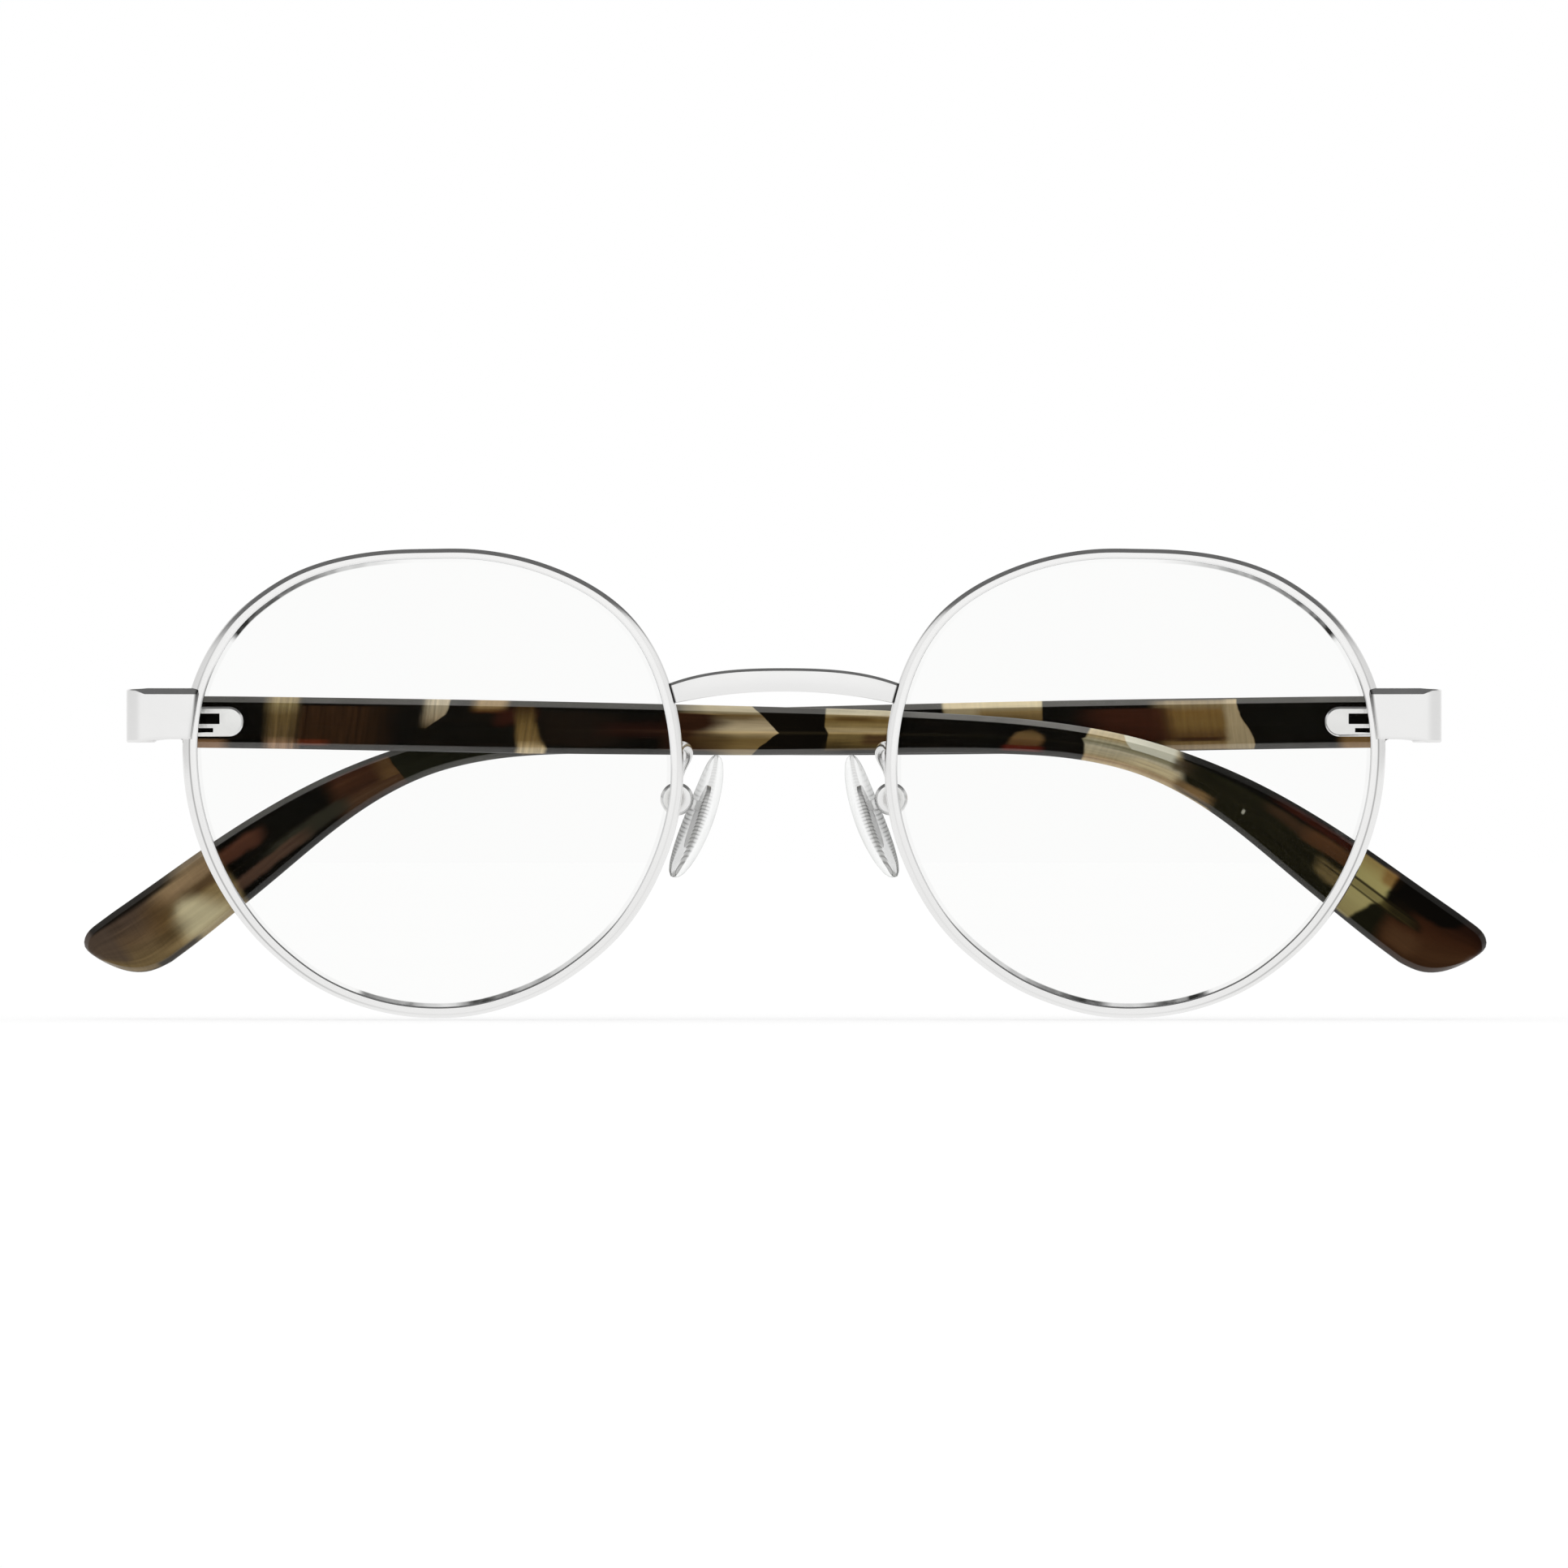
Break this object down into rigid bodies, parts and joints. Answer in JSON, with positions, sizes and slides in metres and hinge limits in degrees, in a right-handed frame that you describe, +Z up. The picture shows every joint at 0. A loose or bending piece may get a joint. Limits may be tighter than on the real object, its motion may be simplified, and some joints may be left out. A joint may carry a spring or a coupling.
{
  "type": "round eyeglasses",
  "caption": "Round full-rim metal eyeglasses with an arched bridge, flat endpieces, adjustable clear nose pads and folding tortoise acetate temples.",
  "frame": {"origin": "middle of the lenses' datum line, on the symmetry plane, at the foremost plane of the bridge", "axes": "-Y is the front, +X the wearer's left, +Z up"},
  "size_m": [0.1446, 0.0199, 0.0482],
  "materials": {
    "eyewire_metal": "polished",
    "bridge_metal": "polished",
    "endpiece_metal": "polished",
    "hardware": "polished",
    "screws": "satin",
    "core_wire": "drawn wire",
    "acetate": "polished tortoise pattern",
    "lens": "clear, uncoated",
    "pad": "clear soft pad"
  },
  "bodies": {
    "front": {"eyewire_right": "eyewire_metal", "eyewire_left": "eyewire_metal", "lens_right": "lens", "lens_left": "lens", "bridge": "bridge_metal", "endpiece_right": "endpiece_metal", "endpiece_left": "endpiece_metal", "closing_block_upper_right": "hardware", "closing_block_upper_left": "hardware", "closing_block_lower_right": "hardware", "closing_block_lower_left": "hardware", "closing_screw_right": "screws", "closing_screw_left": "screws", "front_hinge_right": "hardware", "front_hinge_left": "hardware", "hinge_screw_right": "screws", "hinge_screw_left": "screws", "pad_arm_right": "hardware", "pad_arm_left": "hardware", "pad_box_right": "hardware", "pad_box_left": "hardware", "pad_screw_right": "screws", "pad_screw_left": "screws"},
    "temple_right_body": {"temple_right": "acetate", "core_wire_right": "core_wire", "temple_hinge_right": "hardware"},
    "temple_left_body": {"temple_left": "acetate", "core_wire_left": "core_wire", "temple_hinge_left": "hardware"},
    "nose_pad_right_body": {"nose_pad_right": "pad", "pad_insert_right": "hardware"},
    "nose_pad_left_body": {"nose_pad_left": "pad", "pad_insert_left": "hardware"}
  },
  "joints": [
    {"name": "temple_right_hinge", "type": "hinge", "parent": "front", "child": "temple_right_body", "pos_m": [-0.0633, 0.0128, 0.00636], "axis": [0, 0, 1], "range_deg": [0, 95.6]},
    {"name": "temple_left_hinge", "type": "hinge", "parent": "front", "child": "temple_left_body", "pos_m": [0.0633, 0.0128, 0.00636], "axis": [0, 0, -1], "range_deg": [0, 92.8]},
    {"name": "nose_pad_right_rock", "type": "hinge", "parent": "front", "child": "nose_pad_right_body", "pos_m": [-0.01105, 0.0079, -0.0016], "axis": [0, 1, 0], "range_deg": [-6, 6]},
    {"name": "nose_pad_left_rock", "type": "hinge", "parent": "front", "child": "nose_pad_left_body", "pos_m": [0.01105, 0.0079, -0.0016], "axis": [0, 1, 0], "range_deg": [-6, 6]}
  ]
}
